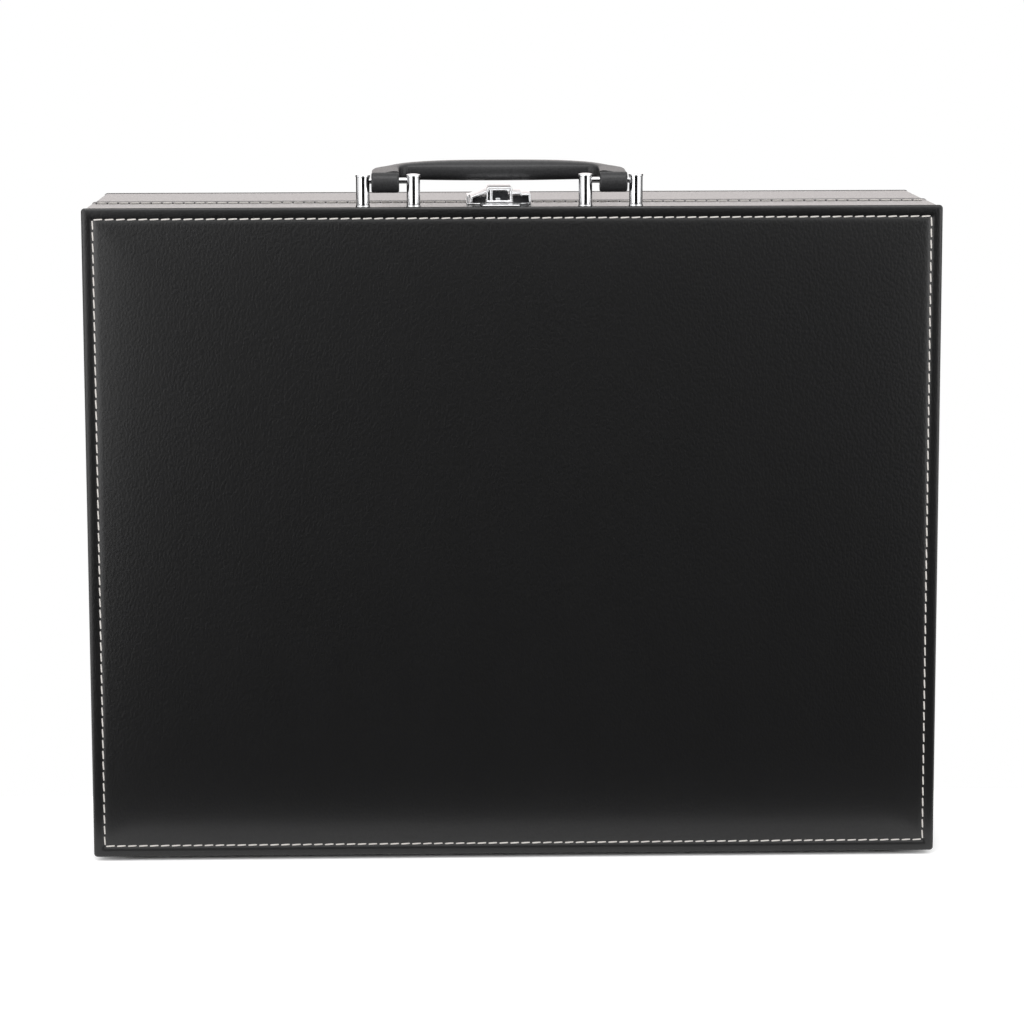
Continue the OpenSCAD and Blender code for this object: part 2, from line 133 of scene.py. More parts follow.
class CaseCamera(bpy.types.PropertyGroup):
    """How the camera stands to the case"""

    lens: FloatProperty(name="Lens", description="Focal length on a 36 mm wide film", default=126.5)
    distance: length_setting("Distance", "Distance from the front face along the view", 1.6915)
    pitch: angle_setting("Pitch", "How far the camera looks down", 8.79)
    yaw: angle_setting("Yaw", "How far the camera looks to the side", -1.37)
    roll: angle_setting("Roll", "Tilt of the picture", -0.15)
    offset: FloatVectorProperty(
        name="Offset", description="Face centre right of and below the picture centre", size=2, default=(0.0009, 0.0107)
    )


# Shader maths


class Value:
    """A shader socket that takes part in ordinary arithmetic"""

    def __init__(self, recipe, socket):
        self.recipe = recipe
        self.socket = socket

    def math(self, operation, *values):
        return self.recipe.node("ShaderNodeMath", {"operation": operation}, dict(enumerate(values)))

    def __add__(self, other):
        return self.math("ADD", self, other)

    def __sub__(self, other):
        return self.math("SUBTRACT", self, other)

    def __rsub__(self, other):
        return self.math("SUBTRACT", other, self)

    def __mul__(self, other):
        return self.math("MULTIPLY", self, other)

    def __truediv__(self, other):
        return self.math("DIVIDE", self, other)

    __radd__ = __add__
    __rmul__ = __mul__

    def above(self, limit):
        return self.math("GREATER_THAN", self, limit)

    def larger(self, other):
        return self.math("MAXIMUM", self, other)

    def size(self):
        return self.math("ABSOLUTE", self)


class Recipe:
    """A material while its nodes are being laid out"""

    def __init__(self, name):
        self.material = bpy.data.materials.new(name)
        self.material.use_nodes = True
        self.tree = self.material.node_tree
        self.tree.nodes.clear()

    def node(self, kind, settings=None, inputs=None, output=0):
        made = self.tree.nodes.new(kind)
        for name, value in (settings or {}).items():
            if name == "stops":
                self.set_stops(made.color_ramp, value)
            else:
                setattr(made, name, value)
        for name, value in (inputs or {}).items():
            if isinstance(value, Value):
                self.tree.links.new(value.socket, made.inputs[name])
            else:
                made.inputs[name].default_value = value
        return Value(self, made.outputs[output])

    def set_stops(self, ramp, stops):
        while len(ramp.elements) < len(stops):
            ramp.elements.new(1.0)
        for element, (place, shade) in zip(ramp.elements, stops):
            element.position = place
            element.color = (shade, shade, shade, 1)

    def place(self):
        return self.node("ShaderNodeTexCoord", output="Object")

    def noise(self, place, size, detail=2.0, roughness=0.5, output="Fac"):
        inputs = {"Vector": place, "Scale": 1 / size, "Detail": detail, "Roughness": roughness}
        return self.node("ShaderNodeTexNoise", None, inputs, output)

    def wave(self, place, size, **settings):
        inputs = {"Vector": place, "Scale": 1 / size, "Distortion": 1.5, "Detail": 2.0}
        return self.node("ShaderNodeTexWave", settings, inputs, "Fac")

    def cells(self, place, size, feature="F1", output="Distance", smoothness=None):
        inputs = {"Vector": place, "Scale": 1 / size}
        if smoothness is not None:
            inputs["Smoothness"] = smoothness
        return self.node("ShaderNodeTexVoronoi", {"feature": feature}, inputs, output)

    def parts(self, place):
        """The three coordinates of a place"""
        split = self.node("ShaderNodeSeparateXYZ", None, {0: place}).socket.node
        return [Value(self, socket) for socket in split.outputs]

    def stretch(self, place, scale):
        return self.node("ShaderNodeMapping", None, {"Vector": place, "Scale": scale})

    def shift(self, place, offset, amount):
        """Moves a place by a colour's deviation from mid grey"""
        centred = self.node("ShaderNodeVectorMath", {"operation": "SUBTRACT"}, {0: offset, 1: (0.5, 0.5, 0.5)})
        small = self.node("ShaderNodeVectorMath", {"operation": "SCALE"}, {0: centred, "Scale": amount})
        return self.node("ShaderNodeVectorMath", {"operation": "ADD"}, {0: place, 1: small})

    def ramp(self, value, stops):
        return self.node("ShaderNodeValToRGB", {"stops": stops}, {"Fac": value})

    def mix(self, factor, first, second):
        inputs = {0: factor, 6: first, 7: second}
        return self.node("ShaderNodeMix", {"data_type": "RGBA"}, inputs, 2)

    def bump(self, height, depth, strength=1.0, normal=None):
        inputs = {"Height": height, "Distance": depth, "Strength": strength}
        if normal is not None:
            inputs["Normal"] = normal
        return self.node("ShaderNodeBump", None, inputs)

    def finish(self, **inputs):
        """Ends the material in one principled surface. Underscores in the names stand for the shader's spaces"""
        named = {name.replace("_", " "): value for name, value in inputs.items()}
        return self.end(self.node("ShaderNodeBsdfPrincipled", None, named, "BSDF"))

    def end(self, surface):
        output = self.tree.nodes.new("ShaderNodeOutputMaterial")
        self.tree.links.new(surface.socket, output.inputs["Surface"])
        return self.material


def opaque(colour):
    return (*colour, 1)


def shade(colour, factor):
    return opaque([channel * factor for channel in colour])


# Finishes


def leatherette(name, colour, gloss, grain, rough):
    """Pressed pebble grain whose valleys are painted darker, a painted shade in its hollows, under a thin even lacquer.
    gloss is the lacquer's weight
    """
    r = Recipe(name)
    place = r.stretch(r.place(), (1, 1, 0.65))
    bent = r.shift(place, r.noise(place, 3 * MM, output="Color"), 0.9 * MM)
    pebble = r.cells(bent, grain, "SMOOTH_F1", smoothness=0.4)
    fine = r.noise(place, 0.5 * MM, 3, 0.6)
    fold = r.noise(place, 2.2 * MM, 2)
    patch = r.noise(place, 30 * MM, 2)
    wave = r.noise(place, 80 * MM, 1)
    valley = r.ramp(pebble, [(0.3, 0.0), (0.75, 1.0)])
    pebbled = r.bump(fold * 0.4 + fine * 0.2 - valley * 0.6, grain * 0.12, 0.8)
    normal = r.bump(wave, 1.2 * MM, 0.2, pebbled)
    tone = r.mix(patch, shade(colour, 0.85), shade(colour, 1.18))
    # The grain's valleys are painted darker: painted shade in the hollows between the pebbles
    base = r.mix(valley * 0.5, tone, shade(colour, 0.5))
    return r.finish(
        Base_Color=base, Roughness=rough + fine * 0.08 + valley * 0.08, Normal=normal,
        Specular_IOR_Level=0.28, Coat_Weight=gloss, Coat_Roughness=0.24
    )


def thread(colour):
    """Waxed sewing thread: a fine twist on a warm off-white"""
    r = Recipe("thread")
    place = r.place()
    twist = r.wave(place, 1.1 * MM, bands_direction="DIAGONAL")
    soil = r.noise(place, 9 * MM, 2)
    tone = r.mix(soil, shade(colour, 0.82), shade(colour, 1.12))
    base = r.mix(twist * 0.3, tone, shade(colour, 0.6))
    return r.finish(Base_Color=base, Roughness=0.62 + soil * 0.15, Normal=r.bump(twist, 0.10 * MM, 0.6))


def plating(name, colour, rough):
    """Bright plating with faint polishing marks and a few duller clouds"""
    r = Recipe(name)
    place = r.place()
    marks = r.noise(r.stretch(place, (1, 1, 0.08)), 0.5 * MM)
    cloud = r.noise(place, 6 * MM, 3)
    base = r.mix(cloud * 0.5, opaque(colour), shade(colour, 0.88))
    dulled = rough + cloud * 0.05 + marks * 0.03
    return r.finish(Base_Color=base, Metallic=1.0, Roughness=dulled, Normal=r.bump(marks, 0.01 * MM, 0.2))


def zinc():
    """Zinc coat on the hidden hardware, duller than the fittings: a mottle of small crystals"""
    r = Recipe("zinc")
    place = r.place()
    crystals = r.node("ShaderNodeRGBToBW", None, {0: r.cells(place, 2.2 * MM, output="Color")})
    grey = r.mix(crystals, (0.42, 0.43, 0.45, 1), (0.58, 0.58, 0.59, 1))
    haze = r.noise(place, 3 * MM, 3)
    return r.finish(Base_Color=grey, Metallic=1.0, Roughness=0.30 + haze * 0.2, Normal=r.bump(haze, 0.03 * MM, 0.3))


def velvet(colour, name, pile):
    """Short pile: brushed patches of light and dark, and a soft sheen at the edges"""
    r = Recipe(name)
    place = r.place()
    hair = r.noise(place, pile, 3, 0.7)
    brushed = r.ramp(r.noise(r.stretch(place, (1, 1, 0.45)), 26 * MM, 3), [(0.35, 0.0), (0.65, 1.0)])
    tone = r.mix(brushed, shade(colour, 0.88), shade(colour, 1.15))
    base = r.mix(hair * 0.5, tone, shade(colour, 0.5))
    return r.finish(
        Base_Color=base, Roughness=0.92, Normal=r.bump(hair, 0.2 * MM, 0.6),
        Sheen_Weight=0.5, Sheen_Roughness=0.35, Sheen_Tint=shade(colour, 3.0)
    )


def open_foam():
    """Cut foam: round open cells, their hollows painted darker as painted shade"""
    r = Recipe("open_foam")
    cell = r.ramp(r.cells(r.place(), 1.1 * MM), [(0.15, 0.0), (0.5, 1.0)])
    # Dark cell hollows and lighter cell walls: painted shade in the open cells
    base = r.mix(cell, (0.02, 0.02, 0.022, 1), (0.075, 0.075, 0.08, 1))
    return r.finish(Base_Color=base, Roughness=0.9, Normal=r.bump(cell, 0.4 * MM, 0.8))


def softwood():
    """Planed rail: growth rings and fine fibres along the grain"""
    r = Recipe("softwood")
    place = r.place()
    bent = r.shift(place, r.noise(place, 60 * MM, output="Color"), 12 * MM)
    rings = r.wave(r.stretch(bent, (0.05, 1, 1)), 9 * MM, wave_type="RINGS", rings_direction="X")
    fibre = r.noise(r.stretch(place, (0.04, 1, 1)), 0.5 * MM, 3)
    tone = r.mix(rings, (0.56, 0.37, 0.20, 1), (0.72, 0.53, 0.33, 1))
    base = r.mix(fibre * 0.4, tone, (0.42, 0.27, 0.14, 1))
    return r.finish(Base_Color=base, Roughness=0.55 + fibre * 0.2, Normal=r.bump(fibre, 0.08 * MM, 0.4))


def fibreboard():
    """Pressed board: short fibres and darker specks"""
    r = Recipe("fibreboard")
    place = r.place()
    fibre = r.noise(place, 0.9 * MM, 4, 0.7)
    specks = r.cells(place, 1.8 * MM).above(0.62)
    tone = r.mix(fibre, (0.36, 0.24, 0.14, 1), (0.52, 0.38, 0.24, 1))
    base = r.mix(specks * 0.5, tone, (0.20, 0.13, 0.08, 1))
    return r.finish(Base_Color=base, Roughness=0.8, Normal=r.bump(fibre, 0.08 * MM, 0.4))


def black_moulding():
    """Glossy black plastic with a faint flow texture"""
    r = Recipe("black_moulding")
    flow = r.noise(r.place(), 1.2 * MM)
    base = r.mix(flow, (0.008, 0.008, 0.009, 1), (0.018, 0.018, 0.02, 1))
    return r.finish(Base_Color=base, Roughness=0.22 + flow * 0.12, Normal=r.bump(flow, 0.02 * MM, 0.25))


FINISHES = {}


def make_finishes(colours):
    """One finish for each material slot of the record, and those that only the dressed case has"""
    # The needle holes' beads take the cover's black halved: painted shade between the stitches
    painted_shade_leather = [channel * 0.5 for channel in colours.leather]
    # The strap takes the cover's black lightened 4.5 times: painted light that brightens the handle. Its thinner
    # lacquer, finer grain and higher roughness are its own
    painted_light_leather = [channel * 4.5 for channel in colours.leather]
    FINISHES.update(
        leatherette=leatherette("leatherette", colours.leather, 0.6, 1.05 * MM, 0.34),
        strap=leatherette("strap", painted_light_leather, 0.3, 0.8 * MM, 0.5),
        needle_hole=leatherette("needle_hole", painted_shade_leather, 0, 0.4 * MM, 0.9),
        thread=thread(colours.thread),
        chrome=plating("chrome", colours.metal, 0.08),
        stamped=plating("stamped", colours.metal, 0.26),
        steel=zinc(),
        velvet=velvet(colours.velvet, "velvet", 0.35 * MM),
        flock=velvet(colours.velvet, "flock", 0.25 * MM),
        foam=open_foam(),
        wood_rail=softwood(),
        wood_board=fibreboard(),
        button=black_moulding(),
    )


# Mesh helpers


def box_shape(low, high):
    """A box between two corners"""
    shape = bmesh.new()
    low, high = Vector(low), Vector(high)
    place = Matrix.Translation((low + high) / 2) @ Matrix.Diagonal((*(high - low), 1))
    bmesh.ops.create_cube(shape, size=1, matrix=place)
    return shape


def round_edges(shape, edges, radius, segments):
    bmesh.ops.bevel(
        shape, geom=edges, offset=radius, offset_type="OFFSET", segments=segments, profile=0.5, affect="EDGES",
        material=-1, clamp_overlap=True
    )


def soften(shape, radius, segments=2, angle=25):
    """Rounds every edge that turns by more than an angle"""
    limit = math.radians(angle)
    edges = [edge for edge in shape.edges if edge.is_manifold and edge.calc_face_angle() > limit]
    round_edges(shape, edges, radius, segments)


def edges_along(shape, axis):
    """Edges that run parallel to an axis"""
    return [edge for edge in shape.edges if (edge.verts[1].co - edge.verts[0].co).cross(axis).length < TINY]


def edges_at(shape, axis, place):
    """Edges that lie in the plane at that place along an axis"""
    return [edge for edge in shape.edges if all(abs(vert.co.dot(axis) - place) < TINY for vert in edge.verts)]


def slice_across(shape, axis, places):
    """Cuts the whole shape by planes across an axis, so that its faces follow a grid"""
    for place in places:
        everything = shape.verts[:] + shape.edges[:] + shape.faces[:]
        bmesh.ops.bisect_plane(shape, geom=everything, plane_co=axis * place, plane_no=axis, dist=TINY / 10)


def sweep(shape, outlines):
    """Carries an outline from place to place and leaves the solid that it passes through"""
    cap = shape.faces.new([shape.verts.new(point) for point in outlines[0]])
    for outline in outlines[1:]:
        grown = bmesh.ops.extrude_face_region(shape, geom=[cap])["geom"]
        cap = next(item for item in grown if isinstance(item, bmesh.types.BMFace) and len(item.verts) > 4)
        for vert, point in zip(cap.verts, outline):
            vert.co = point
    bmesh.ops.recalc_face_normals(shape, faces=shape.faces)


def as_mesh(shape, name):
    """Turns a shape into a mesh, and frees it"""
    mesh = bpy.data.meshes.new(name)
    shape.to_mesh(mesh)
    shape.free()
    return mesh


def show(name, data):
    """Puts a mesh, a camera or a lamp in the scene"""
    shown = bpy.data.objects.new(name, data)
    bpy.context.collection.objects.link(shown)
    return shown


def add_copy(shape, mesh, place):
    """Adds a mesh to the shape, moved to its place"""
    moved = mesh.copy()
    moved.transform(place)
    shape.from_mesh(moved)
    bpy.data.meshes.remove(moved)


def add_shape(shape, other):
    """Adds another shape's faces, and frees it"""
    mesh = as_mesh(other, "part")
    shape.from_mesh(mesh)
    bpy.data.meshes.remove(mesh)


def add_piece(shape, name, finish, body, stands_for=(), sharp=35):
    """Makes an object that rides on a body. Its flat faces stay flat between rounded edges"""
    mesh = as_mesh(shape, name)
    mesh.shade_smooth()
    mesh.set_sharp_from_angle(angle=math.radians(sharp))
    mesh.materials.append(FINISHES[finish])
    piece = show(name, mesh)
    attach(piece, body)
    normals = piece.modifiers.new("normals", "WEIGHTED_NORMAL")
    normals.keep_sharp = True
    if stands_for:
        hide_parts(*stands_for)
    return piece


def sizes():
    """The sizes that the user has set"""
    return bpy.context.scene.case_sizes


def find_joint(name):
    return next(joint for joint in frame["joints"] if joint["name"] == name)


# Covers


# Both halves' panels: the node, its body and its outward side
PANELS = (("front_cover", "base_half", -1), ("back_cover", "lid_half", 1))
# Distances from the stitch line, in millimetres, at which a panel is cut to take its relief
RELIEF_STEPS = (-3.6, -2.6, -1.5, -0.7, 0, 0.7, 1.5, 3, 5, 8, 12, 18, 26, 38, 60)
# Widths of the groove that the thread pulls and of the lid's bead, and the hollow that a panel's seam lies in
GROOVE = 0.8 * MM
BEAD = 1.6 * MM
HOLLOW = 0.5 * MM
# How far the turned edges stand past the rails, and how far the lid's walls stand past their solid
LAP = 0.15 * MM
PROUD = 0.4 * MM
# Depth and height of the hinges' notches in the bottom walls, and the play at their ends
NOTCH_DEPTH = 2.5 * MM
NOTCH_HEIGHT = 9.4 * MM
NOTCH_PLAY = 0.3 * MM
# What lies within this of a wall band's outline belongs to its walls
WALL = 3 * MM


def cover_relief(inset):
    """How far the cover lies in at a distance from the panel's edge: rounded rim, sewn groove, padded field"""
    size = sizes()
    past = inset - size.stitch_inset
    groove = size.groove_depth * math.exp(-((past / GROOVE) ** 2))
    if past < 0:
        crown = 0.4 * MM * max(1 - inset / (2.6 * MM), 0) ** 2
        return groove + crown + HOLLOW * math.exp(past / (1.2 * MM))
    return groove + (HOLLOW + size.padding) * math.exp(-past / size.padding_width) - size.padding


def panel_shape(low, high, out):
    """A board's cover: rounded outline, turned rim, stitched groove and padded field. out is its outward side"""
    shape = box_shape(low, high)
    face = low.y if out < 0 else high.y
    round_edges(shape, edges_along(shape, Y), sizes().corner_radius, 4)
    round_edges(shape, edges_at(shape, Y, face), sizes().rim_radius, 4)
    inset = sizes().stitch_inset
    steps = [inset + gap * MM for gap in RELIEF_STEPS]
    slice_across(shape, X, [low.x + step for step in steps] + [high.x - step for step in steps])
    slice_across(shape, Z, [low.z + step for step in steps] + [high.z - step for step in steps])
    for vert in shape.verts:
        if abs(vert.co.y - face) < sizes().rim_radius - TINY:
            edge_gap = min(vert.co.x - low.x, high.x - vert.co.x, vert.co.z - low.z, high.z - vert.co.z)
            vert.co.y -= out * cover_relief(edge_gap)
    return shape


def is_open_side(face, low, high, seam):
    """A wall band's faces that aren't there: the side to the board, and the seam side inside the turned edge"""
    if abs(face.normal.y) < 0.9:
        return False
    centre = face.calc_center_median()
    turn = sizes().edge_turn
    inside = low.x + turn < centre.x < high.x - turn and low.z + turn < centre.z < high.z - turn
    return inside or abs(centre.y - seam) > turn


def hinge_span():
    """Where the hinges begin and end, to either side of the middle"""
    reach = [abs(vert.co.x) for vert in frame["nodes"]["hinge_pins"].data.vertices]
    return min(reach) - NOTCH_PLAY, max(reach) + NOTCH_PLAY


def is_hinge_room(face, low, seam):
    """The notches in a wall band's bottom for the hinges' knuckles and leaves"""
    centre = face.calc_center_median()
    near, far = hinge_span()
    return near < abs(centre.x) < far and centre.z < low.z + NOTCH_HEIGHT and abs(centre.y - seam) < NOTCH_DEPTH


def wall_shape(low, high, seam, out, bead):
    """Cover wrapped round the four walls and turned over the frame's edge at the seam, where it may form a bead.
    out points past the seam"""
    shape = box_shape(low, high)
    round_edges(shape, edges_along(shape, Y), sizes().corner_radius, 4)
    round_edges(shape, edges_at(shape, Y, seam), sizes().rim_radius, 4)
    turn = sizes().edge_turn
    slice_across(shape, X, [low.x + turn, high.x - turn])
    slice_across(shape, Z, [low.z + turn, high.z - turn])
    line = seam - out * sizes().seam_stitch
    crest = seam - out * BEAD
    slice_across(shape, Y, [line + gap * MM for gap in (-1.4, -0.7, 0, 0.7, 1.4)])
    slice_across(shape, Y, [crest - out * gap * MM for gap in (0, 0.7, 1.5, 2.4, 4)])
    near, far = hinge_span()
    slice_across(shape, X, [-far, -near, near, far])
    slice_across(shape, Y, [seam - out * NOTCH_DEPTH])
    slice_across(shape, Z, [low.z + NOTCH_HEIGHT])
    spare = [face for face in shape.faces if is_open_side(face, low, high, seam) or is_hinge_room(face, low, seam)]
    bmesh.ops.delete(shape, geom=spare, context="FACES")
    centre, half = (low + high) / 2, (high - low) / 2
    for vert in shape.verts:
        swell = bead * math.exp(-(((vert.co.y - crest) / BEAD) ** 2))
        pull = sizes().groove_depth * math.exp(-(((vert.co.y - line) / GROOVE) ** 2))
        side = vert.co - centre
        if abs(side.x) > half.x - WALL:
            vert.co.x += (swell - pull) * math.copysign(1, side.x)
        if side.z > half.z - WALL:
            vert.co.z += swell - pull
        elif side.z < WALL - half.z:
            vert.co.z += pull
    return shape


class CASE_OT_covers(bpy.types.Operator):
    """Make the padded panels and the wrapped walls of both halves"""

    bl_idname = "case.covers"
    bl_label = "Covers"

    def execute(self, context):
        for node, body, out in PANELS:
            low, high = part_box(node)
            name = node.replace("cover", "leather")
            panel = add_piece(panel_shape(low, high, out), name, "leatherette", body, [node])
        low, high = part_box("base_wall_cover")
        high.y += LAP
        walls = wall_shape(low, high, high.y, 1, 0)
        add_piece(walls, "base_wall_leather", "leatherette", "base_half", ["base_wall_cover"])
        low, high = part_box("lid_wall_cover")
        low -= Vector((PROUD, LAP, 0))
        high += Vector((PROUD, 0, PROUD))
        walls = wall_shape(low, high, low.y, -1, PROUD)
        add_piece(walls, "lid_wall_leather", "leatherette", "lid_half", ["lid_wall_cover"])
        return {"FINISHED"}


# Stitching


def stitch_mesh():
    """One stitch at the origin, lying along X and a little aslant: a length of thread with rounded ends"""
    shape = bmesh.new()
    radius = sizes().stitch_width / 2
    lying = Matrix.Rotation(math.pi / 2, 4, "Y")
    bmesh.ops.create_uvsphere(shape, u_segments=8, v_segments=6, radius=radius, matrix=lying)
    for vert in shape.verts:
        if abs(vert.co.x) > TINY:
            vert.co.x += math.copysign(sizes().stitch_length / 2 - radius, vert.co.x)
    bmesh.ops.rotate(shape, matrix=Matrix.Rotation(math.radians(4), 3, "Z"), verts=shape.verts)
    return as_mesh(shape, "stitch")


def hole_mesh():
    """One dark bead at the origin: painted shade at a needle hole between two stitches"""
    shape = bmesh.new()
    bmesh.ops.create_uvsphere(shape, u_segments=8, v_segments=4, radius=0.5 * MM)
    bmesh.ops.scale(shape, vec=(1, 1, 0.6), verts=shape.verts)
    return as_mesh(shape, "hole")


def seam_run(shape, copied, start, end, outward, phase=0.5):
    """Copies of a stitch or hole from start to end, their pitch stretched a little so that they fill the run.
    phase is the first one's place in its pitch"""
    run = end - start
    along = run.normalized()
    turn = Matrix((along, outward.cross(along), outward)).transposed().to_4x4()
    count = max(round(run.length / sizes().stitch_pitch), 1)
    for index in range(count):
        add_copy(shape, copied, Matrix.Translation(start + run * ((index + phase) / count)) @ turn)


class CASE_OT_stitching(bpy.types.Operator):
    """Sew the panels all round and the front half's walls along the seam"""

    bl_idname = "case.stitching"
    bl_label = "Stitching"

    def execute(self, context):
        for node, body, out in PANELS:
            self.sew_panel(node, body, out)
        self.sew_walls()
        return {"FINISHED"}

    def sew_panel(self, node, body, out):
        """A rectangle of stitches, lying in the panel's groove"""
        low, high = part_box(node)
        inset = sizes().stitch_inset
        face = low.y if out < 0 else high.y
        depth = face - out * (cover_relief(inset) - 0.15 * sizes().stitch_width)
        left, right, bottom, top = low.x + inset, high.x - inset, low.z + inset, high.z - inset
        corners = [Vector((x, depth, z)) for x, z in ((left, bottom), (right, bottom), (right, top), (left, top))]
        stitch = stitch_mesh()
        shape = bmesh.new()
        for index, corner in enumerate(corners):
            seam_run(shape, stitch, corners[index - 1], corner, Y * out)
        add_piece(shape, node.replace("cover", "stitches"), "thread", body)

    def sew_walls(self):
        """Four straight runs near the seam, one on each wall, with a dark bead of painted shade at the needle hole
        between every two stitches
        """
        low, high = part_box("base_wall_cover")
        line = high.y - sizes().seam_stitch
        stand = Vector((1, 0, 1)) * 0.25 * MM
        low, high = low - stand, high + stand
        end = 2 * sizes().corner_radius
        runs = []
        for z, side in ((low.z, -Z), (high.z, Z)):
            runs.append((Vector((low.x + end, line, z)), Vector((high.x - end, line, z)), side))
        for x, side in ((low.x, -X), (high.x, X)):
            runs.append((Vector((x, line, low.z + end)), Vector((x, line, high.z - end)), side))
        stitches, holes = bmesh.new(), bmesh.new()
        stitch, hole = stitch_mesh(), hole_mesh()
        for start, finish, side in runs:
            seam_run(stitches, stitch, start, finish, side)
            drop = side * 0.15 * MM
            # Dark beads at the needle holes between the stitches: painted shade
            seam_run(holes, hole, start - drop, finish - drop, side, 0)
        add_piece(stitches, "seam_stitches", "thread", "base_half")
        add_piece(holes, "needle_holes", "needle_hole", "base_half")


# Handle


# Height of the loops' tops above the pins, and how far the grip rises from there along its arms and to its middle
LOOP_TOP = 3.9 * MM
ARM_RISE = 1.5 * MM
GRIP_RISE = 2.5 * MM


def squared(value, power):
    """A sine or cosine bent towards a square's corners"""
    return math.copysign(abs(value) ** power, value)


class CASE_OT_handle(bpy.types.Operator):
    """Make the padded handle with its loops round the pins"""

    bl_idname = "case.handle"
    bl_label = "Handle"

    def execute(self, context):
        size = sizes()
        low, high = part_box("handle_grip")
        pins = Vector(find_joint("handle_hinge")["pos_m"])
        self.arm_x = (high.x - low.x - size.strap_width) / 2
        self.reach = high.y - pins.y - size.strap_width / 2
        self.top = pins.z + LOOP_TOP
        shape = bmesh.new()
        sweep(shape, [self.section(pins, *station) for station in self.stations(size.strap_bend)])
        for side in (-1, 1):
            self.add_loop(shape, Vector((pins.x + side * self.arm_x, pins.y, self.top - size.loop_radius)))
        grip = add_piece(shape, "handle_leather", "strap", "handle", ["handle_grip"], 50)
        return {"FINISHED"}

    def stations(self, bend):
        """Places along the handle from one loop to the other, in its plane, and the way it heads there"""
        half = [(-self.arm_x, self.reach * part, math.pi / 2) for part in (0, 0.2, 0.4)]
        straight = self.arm_x - bend
        for step in range(7):
            turn = math.pi / 2 * step / 6
            x = -straight - bend * math.cos(turn)
            half.append((x, self.reach - bend + bend * math.sin(turn), math.pi / 2 - turn))
        half += [(-straight * part, self.reach, 0.0) for part in (0.85, 0.7, 0.55, 0.4, 0.25, 0.1)]
        return half + [(-x, y, -heading) for x, y, heading in reversed(half)]

    def section(self, pins, x, y, heading):
        """The outline across the handle at a station: a flat strap at the loops, full and round in the middle"""
        size = sizes()
        swell = 1 - (abs(x) / self.arm_x) ** 2.6
        wide = size.strap_width + (size.grip_width - size.strap_width) * swell
        thick = size.strap_thickness + (size.grip_thickness - size.strap_thickness) * swell**0.8
        across = Vector((math.sin(heading), -math.cos(heading), 0))
        square = 0.4 + 0.45 * swell
        outline = []
        for index in range(32):
            turn = math.tau * index / 32
            point = pins + Vector((x, y, 0)) + across * (squared(math.cos(turn), square) * wide / 2)
            span = min(abs(point.x - pins.x) / self.arm_x, 1.0)
            arch = ARM_RISE * y / self.reach + GRIP_RISE * (1 - span**3.4)
            point.z = self.top + arch + (squared(math.sin(turn), square) - 1) * thick / 2
            outline.append(point)
        return outline

    def add_loop(self, shape, centre):
        """The strap's end, wrapped round the bush"""
        radius = sizes().loop_radius
        loop = bmesh.new()
        place = Matrix.Translation(centre) @ Matrix.Rotation(math.pi / 2, 4, "Y")
        bmesh.ops.create_cone(
            loop, cap_ends=True, segments=40, radius1=radius, radius2=radius, depth=sizes().strap_width, matrix=place
        )
        soften(loop, 1.0 * MM, 3, 60)
        add_shape(shape, loop)


# Posts


# Distance between the two posts of a pair
POST_PITCH = 23.6 * MM


class CASE_OT_posts(bpy.types.Operator):
    """Turn the four posts with their domed caps"""

    bl_idname = "case.posts"
    bl_label = "Posts"

    def execute(self, context):
        low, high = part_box("handle_posts")
        radius = (high.y - low.y) / 2
        y = (low.y + high.y) / 2
        outline = self.outline(radius, low.z, high.z)
        shape = bmesh.new()
        first, last = low.x + radius, high.x - radius
        for x in (first, first + POST_PITCH, last - POST_PITCH, last):
            verts = [shape.verts.new((x + out, y, z)) for out, z in outline]
            edges = [shape.edges.new(pair) for pair in zip(verts, verts[1:])]
            bmesh.ops.spin(shape, geom=verts + edges, cent=(x, y, 0), axis=Z, angle=math.tau, steps=40, use_merge=True)
        bmesh.ops.remove_doubles(shape, verts=shape.verts, dist=TINY)
        bmesh.ops.recalc_face_normals(shape, faces=shape.faces)
        add_piece(shape, "turned_posts", "chrome", "base_half", ["handle_posts"], 40)
        return {"FINISHED"}

    def outline(self, radius, foot, top):
        """Half the post's upright outline: a small flange, a straight shaft, a wider domed cap"""
        shaft = radius - 0.1 * MM
        flange = shaft + 0.25 * MM
        cap = radius + 0.15 * MM
        dome = 0.8 * MM
        rows = [(flange, foot), (flange, foot + 0.3 * MM), (shaft, foot + 0.6 * MM)]
        rows += [(shaft, top - 1.6 * MM), (cap, top - 1.4 * MM), (cap, top - dome)]
        for step in range(1, 6):
            turn = math.pi / 2 * step / 5
            rows.append((cap * math.cos(turn), top - dome * (1 - math.sin(turn))))
        return rows


# Latch


# Upright outlines of the folded hood and the hasp's hump, in millimetres
HOOD_ROOF = (
    (-13.7, 0), (-13.4, 3.0), (-5.9, 5.8), (-5.3, 7.3), (5.8, 7.3),
    (6.4, 5.2), (10.3, 5.2), (10.9, 4.3), (14.9, 4.3), (15.2, 0),
)
HUMP_RIDGE = ((-14.6, 3.2), (-7, 5.7), (-1.5, 7.3), (1, 7.9), (4, 7.9), (6.4, 5.9), (8.6, 4.8), (14.0, 4.2))
# Bars of the box's front: their spans across and up in millimetres, and the rounding of their edges
FRONT_BARS = (
    ((-5.9, -5.2), (0.6, 6.9), 0.3), ((-4.4, -3.0), (0.6, 6.9), 0.55), ((5.0, 6.4), (0.6, 6.9), 0.55),
    ((-5.9, 6.4), (0.3, 1.2), 0.4), ((-3.4, 5.4), (6.0, 7.1), 0.45),
)


